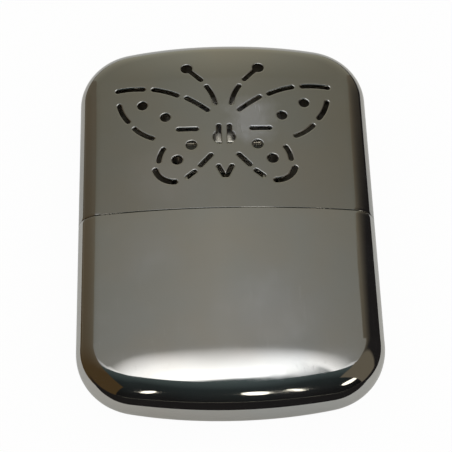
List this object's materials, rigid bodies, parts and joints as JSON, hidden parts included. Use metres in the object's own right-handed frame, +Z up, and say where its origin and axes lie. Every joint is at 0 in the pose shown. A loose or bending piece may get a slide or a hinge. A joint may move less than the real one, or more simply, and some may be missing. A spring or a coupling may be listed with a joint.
{
  "type": "catalytic hand warmer",
  "caption": "Flat oval pocket hand warmer: drawn fuel tank with collar, cotton and wick, push-on catalytic burner, and a pull-off cap with pierced vents.",
  "frame": {"origin": "on the surface the warmer lies on, under the middle of the case", "axes": "+X across the case, +Y along it towards the cap's end, +Z up out of the pierced front face"},
  "size_m": [0.067, 0.098, 0.0152],
  "materials": {
    "case_chrome": "bright chrome plate over drawn sheet",
    "collar_nickel": "bright nickel plate with sliding marks",
    "neck_nickel": "satin nickel plate",
    "cotton": "loose cotton wadding",
    "wick": "packed cotton fibre",
    "burner_steel": "plated sheet, slightly heat tinted",
    "catalyst": "platinum-coated glass fibre mat",
    "gauze_wire": "fine steel wire"
  },
  "bodies": {
    "tank": {"tank_shell": "case_chrome", "tank_collar": "collar_nickel", "filler_neck": "neck_nickel", "cotton_front": "cotton", "cotton_back": "cotton", "cotton_wick": "wick"},
    "burner": {"burner_sleeve": "burner_steel", "burner_front": "burner_steel", "burner_back": "burner_steel", "catalyst_mat": "catalyst", "gauze_front": "gauze_wire", "gauze_back": "gauze_wire"},
    "cap": {"cap_shell": "case_chrome"}
  },
  "joints": [
    {"name": "cap_pull", "type": "slide", "parent": "tank", "child": "cap", "axis": [0, 1, 0], "range_m": [0, 0.045]},
    {"name": "burner_lift", "type": "slide", "parent": "tank", "child": "burner", "axis": [0, 1, 0], "range_m": [0, 0.0075]}
  ]
}
